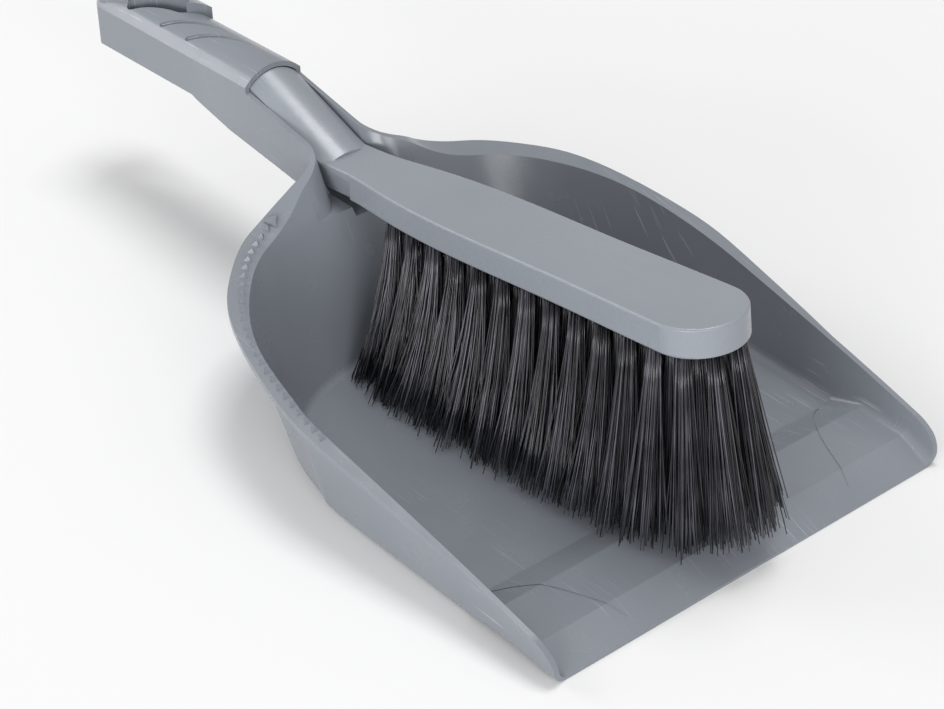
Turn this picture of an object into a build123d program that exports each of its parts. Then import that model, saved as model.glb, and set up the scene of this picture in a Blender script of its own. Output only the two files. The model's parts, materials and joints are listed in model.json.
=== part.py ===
"""Dust pan with a hand brush that stores in the pan's hollow handle.

Row frame: X across the pan, Y from the lip towards the handle, Z up. The origin is under the
middle of the whole set, on the surface that it stands on. Depths are measured back from the lip.
The grip has its own plane at its mouth, with its third axis along the grip.
"""

import os
from math import atan, cos, radians, sin, sqrt, tan

from build123d import *

os.makedirs("parts", exist_ok=True)

# ---------------------------------------------------------------- driving dimensions (mm)
overall_length = 403.0

# pan floor: a thin lip, a slope up to a raised deck, a step down to the main floor
floor_width = 199.4          # across the outside of the side walls, at the floor
floor_thickness = 2.2
lip_thickness = 1.2
deck_height = 5.0            # underside of the deck above the ground
deck_front = 15.0
deck_back = 38.5
step_foot = 53.0
crease_radius = 3.0
swoosh_depth = 0.3           # the two curved creases pressed into the deck
swoosh_width = 1.0

# pan walls: straight sides, then a bowl-shaped back that leans out further
wall = 2.4
side_length = 110.0
side_flare = 11.0            # outward lean of a side wall over flare_height
flare_height = 90.0
outer_foot_radius = 6.0
inner_foot_radius = 4.0

# rim
rim_slope = 0.176            # rise of the rim per mm towards the back
rim_lip_height = 17.06       # that slope carried forward to the lip
rim_end_height = 4.0         # of a side wall's rounded front end, at the lip
rim_join = 150.0             # where the rim's curved front part meets its steady slope
rim_front = [(0.0, 0.0), (4.5, 8.6), (12.0, 12.0), (50.0, 20.7)]   # depth, and rise above that end
neck_rise = 14.5             # extra height of the rim where it runs into the handle
neck_flat = 8.0              # half width over which that rise is full
neck_fade = 48.0             # further half width over which it fades out
flange_start = 40.0
flange_thickness = 2.4

# comb teeth along the left rim, for combing fluff out of the brush
tooth_count = 27
tooth_length = 3.8
tooth_width = 4.0
tooth_height = 2.0
tooth_taper = 24.0           # degrees
tooth_root = 0.4             # how far a tooth runs down into the rim
leaf_tooth_scale = 1.7       # the last tooth, nearest the handle, is larger

# handle of the pan
handle_width = 29.0
handle_wall = 2.2
mouth_depth = 290.0          # where the open trough ends and the closed grip starts
mouth_height = 84.8          # of the grip's side edges, at its mouth
handle_droop = 2.9           # degrees that the grip falls towards its end
grip_side = 18.0             # height of the grip's flat sides
grip_crown = 6.5             # rise of its rounded top
grip_end_radius = 3.5
keel_crease = 19.5           # below the grip's side edges
keel_depth = 42.0
keel_half_width = 9.5
keel_line = [(222.0, 44.0), (268.0, 52.0), (305.0, 57.5)]   # depth and height of the neck's underside
keel_end = 330.0             # depth at which that underside has run into the grip's
keel_overlap = 2.0           # the neck's underside reaches this far into the grip
trough_line = [(215.0, 50.0), (232.0, 51.5), (270.0, 57.5), (286.0, 66.0)]   # the trough's floor
inner_corner = 1.5           # radius of the bottom corners inside the grip and on the brush handle
neck_radius = 12.0           # in the corners between the pan's back and its handle
neck_lean = 0.53             # lean of those corners, the same as the pan's back there
web_foot = 52.0              # height at which the corners start
web_depth = 227.6            # depth of the corners at that height
web_root = 5.0               # the corners run in to this far from the middle
web_lap = 4.0                # and this far into the pan's back

# grip details, measured along the grip from its mouth
gill_starts = [47.7, 66.7]
gill_radius = 1.4
gill_sink = 1.7              # depth of a groove at its deep end
slot_width = 6.5
slot_bend = [(-7.0, 91.0), (-1.0, 81.5), (3.5, 69.0)]   # across the grip, and from its mouth
pommel_side = 6.0            # rise of the grip's side edges behind the slot
pommel_crown = 11.0

# brush body
brush_width = 38.2
brush_waist = 36.2
toe_depth = 18.4
block_thickness = 12.2
block_tilt = 8.2             # degrees, toe up
block_top_height = 90.3      # of its top face at block_datum
block_datum = 97.0
block_edge_radius = 1.0
neck_start = 240.0           # where the brush's neck starts to leave the block
room_start = 224.0           # behind this the brush keeps clear of the trough
neck_crown = 71.0            # heights of the brush neck's section at its start
neck_shoulder = 67.5
neck_bottom = 58.5
tang_length = 62.0           # the part of the brush handle inside the grip
tang_clearance = 0.5
tang_end_gap = 4.0           # from the end of that part to the end of the grip's hollow
tang_end_radius = 1.0

# tufts
row_count = 12
row_pitch = 14.0
first_row = 45.0
tuft_diameter = 5.6
tuft_hole_depth = 8.0
tuft_edge_margin = 4.5       # from the block's edge to the middle of an outer tuft
inner_tuft_share = 0.34      # place of an inner tuft between the middle and an outer one
bristle_length = 72.0
outer_splay = 8.5            # degrees
inner_splay = 3.0
tuft_taper = 1.7             # degrees by which a tuft opens towards its tip
tuft_floor_gap = 0.6         # from the trimmed tufts to the pan floor
tuft_wall_gap = 4.6          # from the trimmed tufts to the pan wall
tuft_cuff = 0.6              # straight stretch of a tuft before it opens
toe_tuft_angles = [22.0, 67.0]   # degrees from straight ahead
toe_splay = 6.0
inner_toe_depth = 33.0
anchor_thickness = 0.6
anchor_height = 2.0
anchor_width = 5.0


overrun = 30.0               # cutting shapes run this far past what they cut


def back(depth):
    """Y of a place that lies this far behind the lip."""
    return depth - overall_length / 2


# ---------------------------------------------------------------- planes and shared outlines
droop = radians(handle_droop)
tilt = radians(block_tilt)
grip_plane = Plane(
    origin=(0, back(mouth_depth), mouth_height),
    x_dir=(-1, 0, 0),
    z_dir=(0, cos(droop), -sin(droop)),
)
block_plane = Plane(
    origin=(0, back(block_datum), block_top_height),
    x_dir=(1, 0, 0),
    z_dir=(0, sin(tilt), cos(tilt)),
)
grip_length = (overall_length - mouth_depth - pommel_crown * sin(droop)) / cos(droop)
trough_half_width = handle_width / 2 - handle_wall
half_floor = floor_width / 2



def across(width, outline):
    """An outline's points (share of this half width, depth) in millimetres."""
    return [(share * width, depth) for share, depth in outline]


floor_bend = across(
    half_floor,
    [(1, side_length), (0.976, 134), (0.913, 157), (0.782, 177), (0.582, 190.5), (0.301, 198), (0, 200)],
)
top_bend = across(
    half_floor + side_flare,
    [(1, side_length + 12), (0.99, 158), (0.93, 191.5), (0.786, 220.5), (0.565, 242), (0.285, 248), (0, 247.5)],
)
rim_bend = across(
    half_floor,
    [
        (1.013, flange_start),
        (1.046, 75),
        (1.071, 110),
        (1.08, 137),
        (1.053, 157),
        (0.983, 184.5),
        (0.883, 205.5),
        (0.762, 218.7),
        (0.602, 231),
        (0.471, 236.5),
        (0.341, 238.6),
    ],
)
tooth_bend = across(
    -half_floor, [(0.441, 232.5), (0.796, 207.6), (0.975, 173.1), (1.026, 146.6), (1.045, 126.5)]
)
swoosh_bend = across(half_floor, [(0.883, step_foot - 1), (0.747, 41), (0.657, 24.5), (0.582, 8)])
gill_bend = [(-9.0, 0), (-2.0, -9.3), (3.0, -19), (6.7, -32)]   # across the grip, and from its start


def inward(x, depth, inset):
    """Moves an outline point towards the middle of the bowl."""
    behind = max(depth - side_length, 0)
    share = 1 - inset / sqrt(x**2 + behind**2)
    return x * share, depth - behind + behind * share


def tub(front, inset):
    """The solid inside the pan's outline, which flares from the floor up."""
    with BuildPart() as block:
        for height, bend in ((0, floor_bend), (flare_height, top_bend)):
            points = [(x, back(depth)) for x, depth in [inward(*spot, inset) for spot in bend]]
            points += [(-x, y) for x, y in reversed(points[:-1])]
            side = points[0][0]
            with BuildSketch(Plane.XY.offset(height)):
                with BuildLine():
                    Line((-side, back(front)), (side, back(front)))
                    Line((side, back(front)), points[0])
                    Spline(*points, tangents=[(0, 1), (0, -1)])
                    Line(points[-1], (-side, back(front)))
                make_face()
        loft(ruled=True)
        if inset == 0:
            foot = faces().sort_by(Axis.Z)[0].edges().sort_by(Axis.Y)[1:]
            fillet(foot, outer_foot_radius)
    return block.part


def above_floor(lift, lip_height):
    """Everything above the floor's line, raised by lift, as seen from the side."""
    rise = deck_height + lift
    far = overall_length
    with BuildPart() as space:
        with BuildSketch(Plane.YZ):
            with BuildLine():
                Polyline(
                    (back(-overrun), lip_height),
                    (back(0), lip_height),
                    (back(deck_front), rise),
                    (back(deck_back), rise),
                    (back(step_foot), lift),
                    (back(far), lift),
                    (back(far), flare_height * 2),
                    (back(-overrun), flare_height * 2),
                    close=True,
                )
            make_face()
            low = vertices().filter_by(lambda v: v.Y < flare_height)
            fillet(low.filter_by(lambda v: back(0) < v.X < back(far)).sort_by(Axis.X)[1:], crease_radius)
        extrude(amount=floor_width, both=True)
    return space.part


def under_rim(thickness):
    """The space under the rim's top face, this deep."""
    outer = half_floor + overrun
    low = rim_lip_height + rim_slope * rim_join
    fade = neck_flat + neck_fade
    slope = atan(rim_slope)
    with BuildPart() as space:
        with BuildSketch(Plane(origin=(0, back(rim_join), 0), x_dir=(-1, 0, 0), z_dir=(0, 1, 0))):
            with BuildLine():
                for base in (low, low - thickness):
                    high = base + neck_rise
                    middle = base + neck_rise / 2
                    Line((-neck_flat, high), (neck_flat, high))
                    for side in (-1, 1):
                        halfway = side * (neck_flat + neck_fade / 2)
                        TangentArc((side * neck_flat, high), (halfway, middle), tangent=(side, 0))
                        TangentArc((side * fade, base), (halfway, middle), tangent=(-side, 0))
                        Line((side * fade, base), (side * outer, base))
                for side in (-1, 1):
                    Line((side * outer, low), (side * outer, low - thickness))
            make_face()
        extrude(amount=overall_length, dir=(0, cos(slope), sin(slope)))
        with BuildSketch(Plane.YZ):
            with BuildLine():
                for drop in (0, thickness):
                    points = [(back(depth), rim_end_height - drop + rise) for depth, rise in rim_front]
                    points.append((back(rim_join), low - drop))
                    way = (0, 1)
                    for near, far in zip(points, points[1:]):
                        bend = TangentArc(near, far, tangent=way)
                        way = bend % 1
                Line((back(0), rim_end_height), (back(0), rim_end_height - thickness))
                Line((back(rim_join), low), (back(rim_join), low - thickness))
            make_face()
        extrude(amount=outer, both=True)
    return space.part


def rim_height(x, depth):
    """Height of the rim's top face, away from its front end."""
    half_fade = neck_fade / 2
    bend_radius = (half_fade**2 + (neck_rise / 2) ** 2) / neck_rise
    from_flat = abs(x) - neck_flat
    run = min(max(from_flat, 0), max(neck_fade - from_flat, 0))
    sag = bend_radius - sqrt(bend_radius**2 - run**2)
    lift = neck_rise - sag if from_flat < half_fade else sag
    return rim_lip_height + rim_slope * depth + lift


def half_section(half_width, bottom, shoulder, crown, corner=0.0):
    """A closed section with flat sides and an arched top."""
    with BuildSketch() as section:
        with BuildLine():
            Polyline((half_width, shoulder), (half_width, bottom), (-half_width, bottom), (-half_width, shoulder))
            ThreePointArc((-half_width, shoulder), (0, crown), (half_width, shoulder))
        make_face()
        if corner:
            fillet(section.vertices().group_by(Axis.Y)[0], corner)
    return section.sketch


def grip_section(inset, corner=0.0):
    """The grip's section, drawn in by inset all round."""
    arch_radius = (handle_width**2 / 4 + grip_crown**2) / (2 * grip_crown)
    centre = grip_crown - arch_radius
    half_width = handle_width / 2 - inset
    shoulder = centre + sqrt((arch_radius - inset) ** 2 - half_width**2)
    return half_section(half_width, inset - grip_side, shoulder, grip_crown - inset, corner)


def trough_section(inset):
    """The section of the neck's open trough, drawn in by inset from the handle's outside."""
    side = handle_width / 2 - inset
    foot = keel_half_width - inset
    with BuildSketch() as section:
        with BuildLine():
            Polyline(
                (side, flare_height),
                (side, -keel_crease),
                (foot, -keel_depth),
                (-foot, -keel_depth),
                (-side, -keel_crease),
                (-side, flare_height),
                close=True,
            )
        make_face()
    return section.sketch


def crown_at(x):
    """Height of the grip's rounded top above its side edges."""
    arch_radius = (handle_width**2 / 4 + grip_crown**2) / (2 * grip_crown)
    return grip_crown - arch_radius + sqrt(arch_radius**2 - x**2)


# ---------------------------------------------------------------- dustpan
with BuildPart() as handle_outside:
    with BuildSketch(grip_plane.offset(keel_line[0][0] - mouth_depth)):
        with BuildLine():
            Polyline(
                (handle_width / 2, grip_crown),
                (handle_width / 2, -keel_crease),
                (keel_half_width, -keel_depth),
                (-keel_half_width, -keel_depth),
                (-handle_width / 2, -keel_crease),
                (-handle_width / 2, grip_crown),
                close=True,
            )
        make_face()
    extrude(amount=keel_end - keel_line[0][0])
    with BuildSketch(Plane.YZ):
        with BuildLine():
            grip_foot = mouth_height - grip_side
            Polyline(
                *[(back(depth), height) for depth, height in keel_line],
                (back(keel_end), grip_foot - keel_overlap),
                (back(mouth_depth), grip_foot + keel_overlap),
                (back(mouth_depth), flare_height * 2),
                (back(keel_line[0][0]), flare_height * 2),
                close=True,
            )
        make_face()
    extrude(amount=handle_width, both=True, mode=Mode.INTERSECT)

with BuildPart() as grip:
    with BuildSketch(grip_plane):
        add(grip_section(0))
    extrude(amount=grip_length)
    ends = faces().sort_by(Axis.Y)[-1].edges().sort_by(Axis.X)
    fillet(ends[:1] + ends[-1:], grip_end_radius)


def corner_arc(side, inner, offset):
    """The arc between the pan's back and the handle, and the end points it runs between."""
    radius = neck_radius + offset
    middle = side * (handle_width / 2 + neck_radius)
    bend = radius * sin(radians(45))
    start = (middle - side * radius, inner + neck_radius)
    ThreePointArc(start, (middle - side * bend, inner + neck_radius - bend), (middle, inner - offset))
    return start, (middle, inner - offset)


with BuildPart() as neck_webs:
    for side in (-1, 1):
        with BuildSketch(Plane.XY.offset(web_foot)):
            with BuildLine():
                near, far = corner_arc(side, back(web_depth), 0)
                lap = back(web_depth - web_lap)
                end = near[1] + wall
                Polyline(far, (far[0], lap), (side * web_root, lap), (side * web_root, end), (near[0], end), near)
            make_face()
        extrude(amount=flare_height - web_foot, dir=(0, neck_lean, 1))

with BuildPart() as throat:
    throat_depth = web_depth + neck_lean * wall
    for side in (-1, 1):
        with BuildSketch(Plane.XY.offset(web_foot + wall)):
            with BuildLine():
                near, far = corner_arc(side, back(throat_depth), wall)
                lap = back(throat_depth - web_lap - wall)
                Polyline(far, (far[0], lap), (side * web_root, lap), (side * web_root, near[1]), near)
            make_face()
        extrude(amount=flare_height - web_foot, dir=(0, neck_lean, 1))

with BuildPart() as flange:
    with BuildSketch(Plane.XY):
        with BuildLine():
            mouth = back(mouth_depth)
            for side in (-1, 1):
                points = [(side * x, back(depth)) for x, depth in rim_bend]
                Line((0, points[0][1]), points[0])
                Spline(*points, tangents=[(side * 0.1, 1), (-side, 0)])
                near, far = corner_arc(side, points[-1][1], 0)
                Line(points[-1], far)
                Polyline(near, (near[0], mouth), (0, mouth))
        make_face()
    extrude(amount=flare_height)
    add(under_rim(flange_thickness), mode=Mode.INTERSECT)

with BuildPart() as trough:
    with BuildSketch(grip_plane):
        add(trough_section(handle_wall))
    extrude(amount=trough_line[0][0] - mouth_depth - web_lap)
    with BuildSketch(Plane.YZ):
        with BuildLine():
            Polyline(
                *[(back(depth), height) for depth, height in trough_line],
                (back(mouth_depth), mouth_height + handle_wall - grip_side),
                (back(mouth_depth), flare_height * 2),
                (back(trough_line[0][0]), flare_height * 2),
                close=True,
            )
        make_face()
    extrude(amount=handle_width, both=True, mode=Mode.INTERSECT)
    with BuildSketch(grip_plane):
        add(grip_section(handle_wall, inner_corner))
    extrude(amount=tang_length + tang_end_gap)

with BuildPart() as cavity:
    add(tub(-overrun, wall))
    add(above_floor(floor_thickness, lip_thickness), mode=Mode.INTERSECT)
    low = edges().filter_by(lambda e: e.bounding_box().max.Z < flare_height / 2)
    fillet(low.filter_by(lambda e: abs(e.center().X) > 1 or e.center().Y > back(side_length)), inner_foot_radius)

with BuildPart() as swooshes:
    for side in (-1, 1):
        with BuildSketch(Plane.XY):
            with BuildLine() as crease:
                Spline(*[(side * x, back(depth)) for x, depth in swoosh_bend])
            trace(crease.line, line_width=swoosh_width)
    extrude(amount=step_foot)
    add(above_floor(floor_thickness - swoosh_depth, lip_thickness), mode=Mode.INTERSECT)

with BuildPart() as teeth:
    comb = Spline(*[(x, back(depth)) for x, depth in tooth_bend], mode=Mode.PRIVATE)
    for step in range(tooth_count):
        share = step / (tooth_count - 1)
        spot = comb @ share
        ahead = comb % share
        scale = leaf_tooth_scale if step == 0 else 1
        root = rim_height(spot.X, spot.Y - back(0)) - tooth_root
        with BuildSketch(Plane(origin=(spot.X, spot.Y, root), x_dir=-ahead, z_dir=(0, -rim_slope, 1))):
            with BuildLine():
                Polyline(
                    (tooth_length * scale / 2, 0),
                    (-tooth_length * scale / 2, tooth_width * scale / 2),
                    (-tooth_length * scale / 2, -tooth_width * scale / 2),
                    close=True,
                )
            make_face()
        extrude(amount=tooth_height + tooth_root, taper=tooth_taper)

# the grip's finger grooves, its hanging slot and the raised end behind the slot
grip_top = Plane(origin=grip_plane.origin, x_dir=(1, 0, 0), z_dir=(0, sin(droop), cos(droop)))
with BuildPart() as gills:
    for start in gill_starts:
        lifts = [gill_radius - gill_sink, 0.0, gill_radius / 2, gill_radius * 1.2]
        track = [(x, start + run, crown_at(x) + lift) for (x, run), lift in zip(gill_bend, lifts)]
        groove = Spline(*[grip_top.from_local_coords(spot) for spot in track], mode=Mode.PRIVATE)
        with BuildSketch(Plane(origin=groove @ 0, z_dir=groove % 0)):
            Circle(gill_radius)
        sweep(path=groove)
        with Locations(groove @ 0):
            Sphere(gill_radius)

with BuildPart() as hang_slot:
    with BuildSketch(grip_top.offset(-grip_side * 2)):
        with BuildLine() as slot_line:
            ThreePointArc(*slot_bend)
        trace(slot_line.line, line_width=slot_width)
        with Locations(slot_line.line @ 0, slot_line.line @ 1):
            Circle(slot_width / 2)
    extrude(amount=grip_side * 4)

with BuildPart() as pommel:
    with BuildSketch(grip_top):
        with BuildLine():
            slot_side, slot_middle, slot_front = slot_bend
            Polyline(
                (slot_front[0], slot_front[1] - slot_width / 2),
                (handle_width / 2, slot_front[1] - slot_width),
                (handle_width / 2, grip_length),
                (-handle_width / 2, grip_length),
                slot_side,
                slot_middle,
                close=True,
            )
        make_face()
    extrude(amount=grip_side)
    with BuildSketch(grip_plane):
        add(half_section(handle_width / 2, -1, pommel_side, pommel_crown))
    extrude(amount=grip_length, mode=Mode.INTERSECT)
    ends = faces().sort_by(Axis.Y)[-1].edges().sort_by(Axis.X)
    fillet(ends[:1] + ends[-1:], grip_end_radius)

with BuildPart() as dustpan:
    add(tub(0, 0))
    add(above_floor(0, 0), mode=Mode.INTERSECT)
    add(handle_outside.part)
    add(neck_webs.part)
    add(under_rim(overall_length / 2), mode=Mode.INTERSECT)
    add(flange.part)
    add(grip.part)
    add(pommel.part)
    add(cavity.part, mode=Mode.SUBTRACT)
    add(trough.part, mode=Mode.SUBTRACT)
    add(throat.part, mode=Mode.SUBTRACT)
    add(swooshes.part, mode=Mode.SUBTRACT)
    add(gills.part, mode=Mode.SUBTRACT)
    add(hang_slot.part, mode=Mode.SUBTRACT)
    add(teeth.part)
dustpan.part.label = "dustpan"
export_step(dustpan.part, "parts/dustpan.step")


# ---------------------------------------------------------------- brush
def on_block(depth, x, drop=0.0):
    """A place on the block's top face, or this far below it."""
    run = (depth - block_datum) / cos(tilt)
    return block_plane.from_local_coords((x, run, -drop))


toe_radius = brush_width / 2
toe_centre = (toe_depth - block_datum) / cos(tilt) + toe_radius
waist = brush_waist / 2
tang_half_width = trough_half_width - tang_clearance
block_bend = [
    (toe_radius, toe_centre),
    (waist + 0.2, 0),
    (waist - 0.2, 72),
    (waist - 3.2, 106),
    (tang_half_width + 0.15, 130),
    (tang_half_width, 150),
]

with BuildPart() as trough_room:
    with BuildSketch(grip_plane.offset(room_start - mouth_depth)):
        add(trough_section(handle_wall + tang_clearance))
    extrude(amount=overall_length)
    with BuildSketch(Plane.XZ.offset(-back(room_start))):
        Rectangle(brush_width * 2, overall_length)
    extrude(amount=overall_length)

with BuildPart() as brush_body:
    with BuildSketch(block_plane):
        with BuildLine():
            ThreePointArc((-toe_radius, toe_centre), (0, toe_centre - toe_radius), (toe_radius, toe_centre))
            Spline(*block_bend, tangents=[(0, 1), (0, 1)])
            Spline(*[(-x, y) for x, y in block_bend], tangents=[(0, 1), (0, 1)])
            Line(block_bend[-1], (-block_bend[-1][0], block_bend[-1][1]))
        make_face()
    extrude(amount=-block_thickness)
    rims = faces().filter_by(lambda f: abs(f.normal_at().Z) > 0.9).edges()
    fillet(rims.filter_by(lambda e: e.center().Y < back(room_start)), block_edge_radius)
    with BuildSketch(Plane(origin=(0, back(neck_start), 0), x_dir=(-1, 0, 0), z_dir=(0, 1, 0))):
        add(half_section(tang_half_width, neck_bottom, neck_shoulder, neck_crown, inner_corner))
    with BuildSketch(grip_plane):
        add(grip_section(handle_wall + tang_clearance, inner_corner))
    loft(ruled=True)
    with BuildSketch(grip_plane):
        add(grip_section(handle_wall + tang_clearance, inner_corner))
    extrude(amount=tang_length)
    add(trough_room.part, mode=Mode.INTERSECT)
    fillet(faces().sort_by(Axis.Y)[-1].edges(), tang_end_radius)


def block_half_width(depth):
    """Half of the block's width at this depth."""
    run = (depth - block_datum) / cos(tilt)
    for (near, start), (far, end) in zip(block_bend, block_bend[1:]):
        if start <= run <= end:
            return near + (far - near) * (run - start) / (end - start)
    return toe_radius


def tuft_plane(depth, x, sideways, forward):
    """The plane where a tuft leaves the block, with its third axis along the bristles."""
    lean = block_plane.x_dir * tan(radians(sideways)) - block_plane.y_dir * tan(radians(forward))
    return Plane(origin=on_block(depth, x, block_thickness), z_dir=lean - block_plane.z_dir)


tuft_planes = {}
for row in range(row_count):
    depth = first_row + row * row_pitch
    outer = block_half_width(depth) - tuft_edge_margin
    for side, hand in ((-1, "left"), (1, "right")):
        tuft_planes[f"tuft_{row + 1:02d}_{hand}_outer"] = tuft_plane(depth, side * outer, side * outer_splay, 0)
        inner = side * outer * inner_tuft_share
        tuft_planes[f"tuft_{row + 1:02d}_{hand}_inner"] = tuft_plane(depth, inner, side * inner_splay, 0)
for side, hand in ((-1, "left"), (1, "right")):
    for place, angle in (("front", toe_tuft_angles[0]), ("corner", toe_tuft_angles[1])):
        reach = toe_radius - tuft_edge_margin
        turn = radians(angle)
        depth = toe_depth + (toe_radius - reach * cos(turn)) * cos(tilt)
        lean = side * toe_splay * sin(turn)
        tuft_planes[f"toe_tuft_{hand}_{place}"] = tuft_plane(depth, side * reach * sin(turn), lean, toe_splay * cos(turn))
    inner = side * (toe_radius - tuft_edge_margin) * inner_tuft_share
    tuft_planes[f"toe_tuft_{hand}_inner"] = tuft_plane(inner_toe_depth, inner, side * inner_splay, inner_splay)

with BuildPart() as tuft_room:
    add(tub(-overrun, wall + tuft_wall_gap))
    with BuildSketch(Plane.XY.offset(flare_height)):
        Rectangle(floor_width, overall_length * 2)
    extrude(amount=block_thickness * 2)
    add(above_floor(floor_thickness + tuft_floor_gap, lip_thickness + tuft_floor_gap), mode=Mode.INTERSECT)
    split(bisect_by=block_plane.offset(-block_thickness - bristle_length), keep=Keep.TOP)

with BuildPart() as tuft_holes:
    for plane in tuft_planes.values():
        with BuildSketch(plane.offset(-tuft_hole_depth)):
            Circle(tuft_diameter / 2)
        extrude(amount=tuft_hole_depth + 1)

with BuildPart() as brush:
    add(brush_body.part)
    add(tuft_holes.part, mode=Mode.SUBTRACT)
brush.part.label = "brush_body"
export_step(brush.part, "parts/brush_body.step")

for name, plane in tuft_planes.items():
    with BuildPart() as tuft:
        with BuildSketch(plane.offset(anchor_height - tuft_hole_depth)):
            Circle(tuft_diameter / 2)
        extrude(amount=tuft_hole_depth - anchor_height + tuft_cuff)
        with BuildSketch(plane.offset(tuft_cuff)):
            Circle(tuft_diameter / 2)
        extrude(amount=bristle_length * 1.2, taper=-tuft_taper)
        add(tuft_room.part, mode=Mode.INTERSECT)
    tuft.part.label = name
    export_step(tuft.part, f"parts/{name}.step")

with BuildPart() as anchors:
    for plane in tuft_planes.values():
        with BuildSketch(plane.offset(-tuft_hole_depth)):
            Rectangle(anchor_width, anchor_thickness)
        extrude(amount=anchor_height)
anchors.part.label = "tuft_anchors"
export_step(anchors.part, "parts/tuft_anchors.step")
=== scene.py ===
"""Looks of a dust pan and brush set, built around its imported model.

Metres throughout, in the model's frame: X across the pan, Y from its lip towards the handle,
Z up from the surface that the set stands on.
"""

import json
import math
import random

import bpy
from mathutils import Matrix, Vector


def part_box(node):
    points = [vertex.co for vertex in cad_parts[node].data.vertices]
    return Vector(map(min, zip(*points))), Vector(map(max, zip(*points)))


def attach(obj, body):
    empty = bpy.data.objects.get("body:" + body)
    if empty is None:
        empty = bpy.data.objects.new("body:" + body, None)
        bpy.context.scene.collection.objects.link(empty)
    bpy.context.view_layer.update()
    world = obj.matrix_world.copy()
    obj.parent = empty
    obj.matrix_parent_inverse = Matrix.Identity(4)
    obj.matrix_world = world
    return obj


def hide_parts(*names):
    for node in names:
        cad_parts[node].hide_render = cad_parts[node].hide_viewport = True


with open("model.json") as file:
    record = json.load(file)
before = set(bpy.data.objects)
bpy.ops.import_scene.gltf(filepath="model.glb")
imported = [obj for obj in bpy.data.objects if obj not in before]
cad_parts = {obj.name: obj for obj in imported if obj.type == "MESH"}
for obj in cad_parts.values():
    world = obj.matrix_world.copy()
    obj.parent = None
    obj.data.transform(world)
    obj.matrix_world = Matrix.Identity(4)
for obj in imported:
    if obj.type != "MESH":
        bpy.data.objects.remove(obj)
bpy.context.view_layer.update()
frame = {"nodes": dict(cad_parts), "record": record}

MM = 0.001
rng = random.Random(7)

# ---------------------------------------------------------------- sizes taken over from the design
block_tilt = math.radians(8.2)
block_up = Vector((0, math.sin(block_tilt), math.cos(block_tilt)))
tuft_radius = 2.8 * MM
tuft_in_block = 6.0 * MM               # from a tuft's end in its hole to the block's underside
hole_end_band = (0.0, 1.2 * MM)        # below that end, where the plain tuft's first ring lies
cuff_band = (5.2 * MM, 7.8 * MM)       # below that end, where its rings at the underside lie
lip_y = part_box("dustpan")[0].y
back_wall_depth = 190.0                # mm behind the lip, where the heel bristles stop
back_wall_scatter = 4                  # mm, by which some of them stop sooner
# the pan's inside from its lip up to the deck and down to the floor, as depth and height in mm
floor_line = [(0.0, 1.2), (15.0, 7.2), (38.5, 7.2), (53.0, 2.2), (400.0, 2.2)]

# the brush slides forwards and slightly up, out of the pan's handle
slide = frame["record"]["behaviour"]["joints"][0]
brush_travel = slide["range_m"][1] / MM
brush_climb = slide["axis"][2] / -slide["axis"][1]      # rise per mm forwards
travel_steps = 26                      # places on the way at which the room for the tips is looked up

# filaments
filaments_per_tuft = 84
filament_radius = 0.29 * MM
filament_sides = 4
filament_segments = 5
filament_taper = 0.25                  # share of its thickness that a filament loses by its tip
filament_length = 79.0 * MM            # below the block; a few millimetres more than the plain tufts
length_scatter = (-0.4, 1.0)           # mean and deviation of what is added to it, in mm
root_in_hole = 1.5                     # how far up its hole a filament starts, in mm
filament_spread = math.radians(3.1)    # of a tuft's outermost filaments from its axis
direction_scatter = 0.014              # deviation of each part of a filament's direction
sway_scatter = 1.6                     # deviation of a tip to each side, in mm
tip_gap = 1.0                          # least height of a tip over its clear_height, in mm
tip_gap_scatter = 0.6                  # most that is added to it, in mm
bow_share = 0.36                       # of the bow that would take up all of a filament's spare length
outward_share = 0.9                    # of the filaments bow outwards, and the rest inwards
outward_least = 0.75                   # smallest bow outwards, as a share of the usual one
outward_more = 0.5                     # most that is added to it
along_range = (-0.35, 0.3)             # bow towards the lip and towards the handle, as the same share
tangent_step = 0.02                    # share of its length over which a filament's direction is read


def add_node(tree, kind, settings=None, inputs=None):
    """Adds a shader node, sets its options, and sets or links its inputs."""
    made = tree.nodes.new(kind)
    for name, value in (settings or {}).items():
        setattr(made, name, value)
    for name, value in (inputs or {}).items():
        if isinstance(value, bpy.types.NodeSocket):
            tree.links.new(value, made.inputs[name])
        else:
            made.inputs[name].default_value = value
    return made


def colour(hex_code):
    """An sRGB hex colour as linear RGBA."""
    parts = [int(hex_code[i:i + 2], 16) / 255 for i in (1, 3, 5)]
    linear = [c / 12.92 if c <= 0.04045 else ((c + 0.055) / 1.055) ** 2.4 for c in parts]
    return (*linear, 1.0)


def per_mm(size):
    """Texture scale for a feature of this many millimetres."""
    return 1 / (size * MM)


def new_material(name):
    """An empty node material and its node tree, object coordinates and output."""
    material = bpy.data.materials.new(name)
    material.use_nodes = True
    tree = material.node_tree
    tree.nodes.clear()
    coords = add_node(tree, "ShaderNodeTexCoord").outputs["Object"]
    out = add_node(tree, "ShaderNodeOutputMaterial")
    return material, tree, coords, out


def ramp(tree, factor, low, high):
    """Stretches the part of factor between low and high to 0 to 1."""
    made = add_node(tree, "ShaderNodeMapRange", {"clamp": True}, {
        "Value": factor, "From Min": low, "From Max": high, "To Min": 0.0, "To Max": 1.0})
    return made.outputs["Result"]


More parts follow.
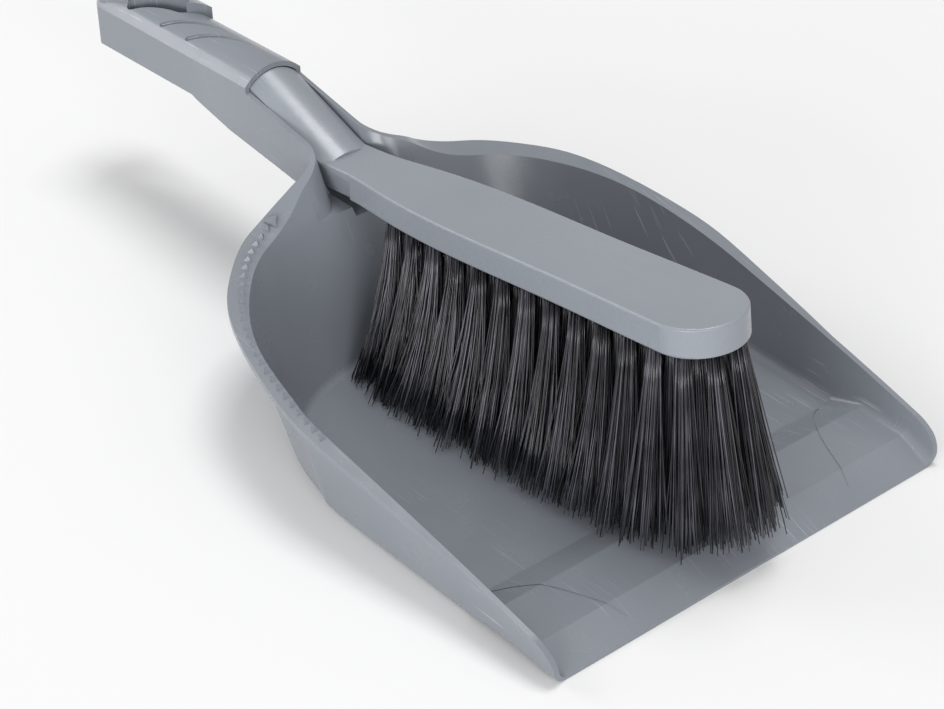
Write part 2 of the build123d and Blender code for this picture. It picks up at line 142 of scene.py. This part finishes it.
def scratches(tree, coords, turn, width, length, level):
    """Sparse fine lines that run one way, as 0 to 1: their turn in degrees, their width and length
    in mm, and the level of the noise above which they show."""
    mapped = add_node(tree, "ShaderNodeMapping", {}, {
        "Vector": coords,
        "Rotation": (0.0, 0.0, math.radians(turn)),
        "Scale": (per_mm(width), per_mm(length), per_mm(length))})
    lines = add_node(tree, "ShaderNodeTexNoise", {}, {
        "Vector": mapped.outputs["Vector"], "Scale": 1.0, "Detail": 1.0, "Roughness": 0.4})
    return ramp(tree, lines.outputs["Fac"], level, level + 0.05)


def moulded_polypropylene(name, base, light, roughness, wear):
    """Injection moulded polypropylene: an even grey with faint flow marks, a smooth semi-gloss skin
    that mirrors the lights softly, and the light hairline scratches that it picks up in use."""
    material, tree, coords, out = new_material(name)
    flow = add_node(tree, "ShaderNodeTexNoise", {}, {
        "Vector": coords, "Scale": per_mm(70), "Detail": 3.0, "Roughness": 0.5})
    tint = add_node(tree, "ShaderNodeMix", {"data_type": "RGBA"}, {
        "Factor": ramp(tree, flow.outputs["Fac"], 0.3, 0.7), "A": colour(base), "B": colour(light)})
    one_way = scratches(tree, coords, turn=28, width=0.35, length=45, level=0.70)
    other_way = scratches(tree, coords, turn=-52, width=0.3, length=30, level=0.71)
    patches = add_node(tree, "ShaderNodeTexNoise", {}, {
        "Vector": coords, "Scale": per_mm(55), "Detail": 2.0, "Roughness": 0.5})
    both = add_node(tree, "ShaderNodeMath", {"operation": "MAXIMUM"}, {0: one_way, 1: other_way})
    worn = add_node(tree, "ShaderNodeMath", {"operation": "MULTIPLY"}, {
        0: both.outputs[0], 1: ramp(tree, patches.outputs["Fac"], 0.48, 0.62)})
    share = add_node(tree, "ShaderNodeMath", {"operation": "MULTIPLY"}, {0: worn.outputs[0], 1: wear})
    scuffed = add_node(tree, "ShaderNodeMix", {"data_type": "RGBA"}, {
        "Factor": share.outputs[0], "A": tint.outputs["Result"], "B": colour("#d5d8dc")})
    satin = add_node(tree, "ShaderNodeTexNoise", {}, {
        "Vector": coords, "Scale": per_mm(18), "Detail": 4.0, "Roughness": 0.6})
    rough = add_node(tree, "ShaderNodeMapRange", {}, {
        "Value": satin.outputs["Fac"], "From Min": 0.3, "From Max": 0.7,
        "To Min": roughness - 0.04, "To Max": roughness + 0.05})
    skin = add_node(tree, "ShaderNodeTexNoise", {}, {
        "Vector": coords, "Scale": per_mm(2.5), "Detail": 2.0, "Roughness": 0.5})
    bump = add_node(tree, "ShaderNodeBump", {}, {
        "Height": skin.outputs["Fac"], "Strength": 0.12, "Distance": 0.06 * MM})
    cut = add_node(tree, "ShaderNodeBump", {"invert": True}, {
        "Height": worn.outputs[0], "Strength": 0.35, "Distance": 0.05 * MM, "Normal": bump.outputs["Normal"]})
    shader = add_node(tree, "ShaderNodeBsdfPrincipled", {}, {
        "Base Color": scuffed.outputs["Result"], "Roughness": rough.outputs["Result"],
        "IOR": 1.49, "Normal": cut.outputs["Normal"]})
    tree.links.new(shader.outputs["BSDF"], out.inputs["Surface"])
    return material


def extruded_filament(name):
    """Extruded black filament: a smooth dyed thread whose round side shows a long narrow highlight.
    Some filaments are painted greyer than others as painted highlights, and each a little more in places
    along it."""
    material, tree, coords, out = new_material(name)
    # painted highlight: grey is mixed into some filaments, and patchily along them, in place of light caught
    # on the bristles
    shade = add_node(tree, "ShaderNodeAttribute", {"attribute_name": "filament_painted_highlight"})
    highlight_patches = add_node(tree, "ShaderNodeTexNoise", {}, {
        "Vector": coords, "Scale": per_mm(14), "Detail": 2.0, "Roughness": 0.5})
    painted_highlight_amount = add_node(tree, "ShaderNodeMath", {"operation": "MULTIPLY"}, {
        0: shade.outputs["Fac"], 1: ramp(tree, highlight_patches.outputs["Fac"], 0.2, 0.6)})
    tint = add_node(tree, "ShaderNodeMix", {"data_type": "RGBA"}, {
        "Factor": painted_highlight_amount.outputs[0], "A": colour("#09090d"), "B": colour("#62626c")})
    shader = add_node(tree, "ShaderNodeBsdfPrincipled", {}, {
        "Base Color": tint.outputs["Result"], "Roughness": 0.24, "IOR": 1.58})
    tree.links.new(shader.outputs["BSDF"], out.inputs["Surface"])
    return material


def flat_steel_strip(name):
    """Cut steel strip: bright metal with fine rolling lines along it."""
    material, tree, coords, out = new_material(name)
    lines = add_node(tree, "ShaderNodeTexNoise", {}, {
        "Vector": coords, "Scale": per_mm(0.4), "Detail": 2.0, "Roughness": 0.5})
    rough = add_node(tree, "ShaderNodeMapRange", {}, {
        "Value": lines.outputs["Fac"], "From Min": 0.3, "From Max": 0.7, "To Min": 0.28, "To Max": 0.42})
    shader = add_node(tree, "ShaderNodeBsdfPrincipled", {}, {
        "Base Color": colour("#b9bbbd"), "Metallic": 1.0, "Roughness": rough.outputs["Result"]})
    tree.links.new(shader.outputs["BSDF"], out.inputs["Surface"])
    return material


def studio_floor(name):
    """Matt white paper sweep: near white, with a very faint unevenness."""
    material, tree, coords, out = new_material(name)
    paper = add_node(tree, "ShaderNodeTexNoise", {}, {
        "Vector": coords, "Scale": per_mm(400), "Detail": 2.0, "Roughness": 0.5})
    tint = add_node(tree, "ShaderNodeMix", {"data_type": "RGBA"}, {
        "Factor": paper.outputs["Fac"], "A": colour("#e2e2e2"), "B": colour("#e5e5e5")})
    shader = add_node(tree, "ShaderNodeBsdfPrincipled", {}, {
        "Base Color": tint.outputs["Result"], "Roughness": 0.9, "IOR": 1.3})
    tree.links.new(shader.outputs["BSDF"], out.inputs["Surface"])
    return material


# ---------------------------------------------------------------- camera, floor and lights
camera_azimuth = math.radians(-40.56)      # 0 looks along +Y
camera_elevation = math.radians(34.95)
camera_place = (-0.5943, lip_y - 0.5328, 0.6499)
camera_lens = 104.87                       # mm
sensor_width = 36                          # mm


def place_camera():
    """Looks down into the pan from in front of its left side."""
    behind = Vector((
        math.sin(camera_azimuth) * math.cos(camera_elevation),
        -math.cos(camera_azimuth) * math.cos(camera_elevation),
        math.sin(camera_elevation)))
    right = Vector((math.cos(camera_azimuth), math.sin(camera_azimuth), 0))
    up = behind.cross(right)
    data = bpy.data.cameras.new("camera")
    data.lens = camera_lens
    data.sensor_width = sensor_width
    data.clip_start = 0.01
    camera = bpy.data.objects.new("camera", data)
    turn = Matrix((right, up, behind)).transposed().to_4x4()
    camera.matrix_world = Matrix.Translation(camera_place) @ turn
    bpy.context.scene.collection.objects.link(camera)
    bpy.context.scene.camera = camera


def add_softbox(name, place, aim, size, power):
    """A white rectangular soft light at a place, turned towards what it lights."""
    data = bpy.data.lights.new(name, "AREA")
    data.shape = "RECTANGLE"
    data.size, data.size_y = size
    data.energy = power
    lamp = bpy.data.objects.new(name, data)
    lamp.location = place
    lamp.rotation_euler = (Vector(aim) - Vector(place)).to_track_quat("-Z", "Y").to_euler()
    bpy.context.scene.collection.objects.link(lamp)


def make_studio():
    """A pale floor under an even sky, with the key light overhead from the right, and others in
    front, on the left and behind."""
    bpy.ops.object.select_all(action="DESELECT")
    bpy.ops.mesh.primitive_plane_add(size=16, location=(0, 0, 0))
    floor = bpy.context.object
    floor.name = "studio_floor"
    floor.data.materials.append(studio_floor("white_paper_sweep"))
    world = bpy.data.worlds.new("studio")
    bpy.context.scene.world = world
    world.use_nodes = True
    world.node_tree.nodes["Background"].inputs["Color"].default_value = colour("#fbfbfc")
    world.node_tree.nodes["Background"].inputs["Strength"].default_value = 0.53
    add_softbox("key_softbox", (0.5, 0.22, 1.95), (0, 0, 0), (0.8, 0.8), 20)
    add_softbox("front_softbox", (-0.9, -2.3, 0.95), (0, 0, 0.05), (1.2, 0.8), 16)
    add_softbox("left_softbox", (-2.1, -1.0, 0.52), (0, -0.05, 0.05), (1.5, 0.8), 34)
    add_softbox("back_softbox", (-0.9, 1.7, 1.1), (0, 0.05, 0.05), (1.2, 0.6), 9)
    bpy.context.scene.view_settings.view_transform = "Standard"
    bpy.context.scene.view_settings.look = "None"


# ---------------------------------------------------------------- bristles
def pan_surface(depth):
    """Height of the pan's inside at this depth behind the lip, in millimetres."""
    for (near, low), (far, high) in zip(floor_line, floor_line[1:]):
        if near <= depth <= far:
            return low + (high - low) * (depth - near) / (far - near)
    return 0.0


def clear_height(depth):
    """Lowest height, in millimetres, at which a tip clears the pan over the brush's whole travel."""
    steps = [brush_travel * i / travel_steps for i in range(travel_steps + 1)]
    return max(pan_surface(depth - step) - brush_climb * step for step in steps)


def tuft_axis(tuft):
    """Where a tuft leaves the block, and the way it points, read from its plain solid."""
    corners = [v.co for v in tuft.data.vertices]
    reach = [corner.dot(block_up) for corner in corners]
    top = max(reach)

    def ring_centre(low, high):
        ring = [c for c, r in zip(corners, reach) if top - high <= r <= top - low]
        return Vector([(min(c[i] for c in ring) + max(c[i] for c in ring)) / 2 for i in range(3)])

    hole_end = ring_centre(*hole_end_band)
    cuff = ring_centre(*cuff_band)
    axis = (cuff - hole_end).normalized()
    return hole_end + axis * tuft_in_block, axis


def model_filament():
    """Corners and faces of one straight filament of unit length and radius, from 0 down along Z."""
    bpy.ops.object.select_all(action="DESELECT")
    bpy.ops.mesh.primitive_cylinder_add(
        vertices=filament_sides, radius=1, depth=1, location=(0, 0, -0.5), end_fill_type="NGON")
    filament = bpy.context.object
    bpy.ops.object.transform_apply(location=True, rotation=True, scale=True)
    bpy.ops.object.mode_set(mode="EDIT")
    for level in range(1, filament_segments):
        bpy.ops.mesh.select_all(action="SELECT")
        bpy.ops.mesh.bisect(plane_co=(0, 0, -level / filament_segments), plane_no=(0, 0, 1))
    bpy.ops.mesh.select_all(action="SELECT")
    bpy.ops.mesh.normals_make_consistent(inside=False)
    bpy.ops.object.mode_set(mode="OBJECT")
    corners = [v.co.copy() for v in filament.data.vertices]
    faces = [list(p.vertices) for p in filament.data.polygons]
    bpy.data.objects.remove(filament)
    return corners, faces


def filament_line(root, axis, spread_way, spread, side):
    """A function from 0 to 1 along one filament to its place."""
    way = (axis + spread_way * math.tan(filament_spread) * spread).normalized()
    way = (way + Vector([rng.gauss(0, direction_scatter) for _ in range(3)])).normalized()
    length = filament_length / -way.dot(block_up) + rng.gauss(*length_scatter) * MM
    tip = root + way * length
    sway = Vector((rng.gauss(0, sway_scatter), rng.gauss(0, sway_scatter), 0)) * MM
    depth = (tip.y - lip_y) / MM
    rest = (clear_height(depth) + tip_gap + rng.random() * tip_gap_scatter) * MM
    drop = root.z - tip.z
    room = root.z - rest
    bow = Vector((0, 0, 0))
    if room < drop:
        if rng.random() < outward_share:
            outward = side * (outward_least + outward_more * rng.random())
        else:
            outward = -side * rng.random()
        # a parabola that is longer than its span by a share s ends sqrt(1.5 s) spans off its tangent
        bow_length = bow_share * room * math.sqrt(1.5 * (drop / room - 1))
        bow = Vector((outward, rng.uniform(*along_range), 0)) * bow_length
        tip.z = rest
    last_y = lip_y + (back_wall_depth - rng.random() * back_wall_scatter) * MM
    if tip.y + bow.y > last_y:
        tip.y = last_y - bow.y

    def place(share):
        straight = root.lerp(tip, share)
        return straight + bow * share**2 + sway * share**2

    return place


def make_tuft(node_name, filament):
    """A tuft of bent copies of the one filament, in place of its plain solid."""
    corners, faces = filament
    root, axis = tuft_axis(frame["nodes"][node_name])
    across = axis.cross(Vector((0, 1, 0))).normalized()
    along = axis.cross(across).normalized()
    side = -1 if root.x < 0 else 1
    points, polygons, painted_highlights = [], [], []
    for _ in range(filaments_per_tuft):
        turn = rng.uniform(0, 2 * math.pi)
        spread = math.sqrt(rng.random())
        spread_way = across * math.cos(turn) + along * math.sin(turn)
        start = root + spread_way * spread * (tuft_radius - filament_radius) - axis * root_in_hole * MM
        place = filament_line(start, axis, spread_way, spread, side)
        roll = rng.uniform(0, math.pi)
        # each filament's random share of the painted highlight grey
        painted_highlights += [rng.random() ** 2] * len(corners)
        first = len(points)
        for corner in corners:
            share = -corner.z
            before = place(max(share - tangent_step, 0.0))
            ahead = (place(min(share + tangent_step, 1.0)) - before).normalized()
            sideways = ahead.cross(Vector((0, 1, 0))).normalized()
            other = ahead.cross(sideways)
            angle = math.atan2(corner.y, corner.x) + roll
            thickness = filament_radius * (1 - filament_taper * share)
            points.append(place(share) + (sideways * math.cos(angle) + other * math.sin(angle)) * thickness)
        polygons.extend([[first + i for i in face] for face in faces])
    mesh = bpy.data.meshes.new(f"bristles_{node_name}")
    mesh.from_pydata([tuple(p) for p in points], [], polygons)
    mesh.shade_smooth()
    mesh.attributes.new("filament_painted_highlight", "FLOAT", "POINT").data.foreach_set("value", painted_highlights)
    tuft = bpy.data.objects.new(f"bristles_{node_name}", mesh)
    bpy.context.scene.collection.objects.link(tuft)
    tuft.data.materials.append(bristle_finish)
    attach(tuft, "brush")
    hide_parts(node_name)


# ---------------------------------------------------------------- putting it together
place_camera()
make_studio()

pan_finish = moulded_polypropylene("pan_moulded_polypropylene", "#787d84", "#7f848b", 0.24, 0.5)
brush_finish = moulded_polypropylene("brush_moulded_polypropylene", "#848990", "#8a8f96", 0.28, 0.12)
bristle_finish = extruded_filament("bristle_black_filament")
anchor_finish = flat_steel_strip("anchor_steel_strip")

finishes = {"pan_plastic": pan_finish, "brush_plastic": brush_finish, "bristle": bristle_finish,
            "anchor_steel": anchor_finish}
for subpart in frame["record"]["subparts"]:
    node = frame["nodes"][subpart["node"]]
    node.data.materials.clear()
    node.data.materials.append(finishes[subpart["material_slot"]])

one_filament = model_filament()
for node_name in sorted(frame["nodes"]):
    if "tuft_" in node_name and node_name != "tuft_anchors":
        make_tuft(node_name, one_filament)
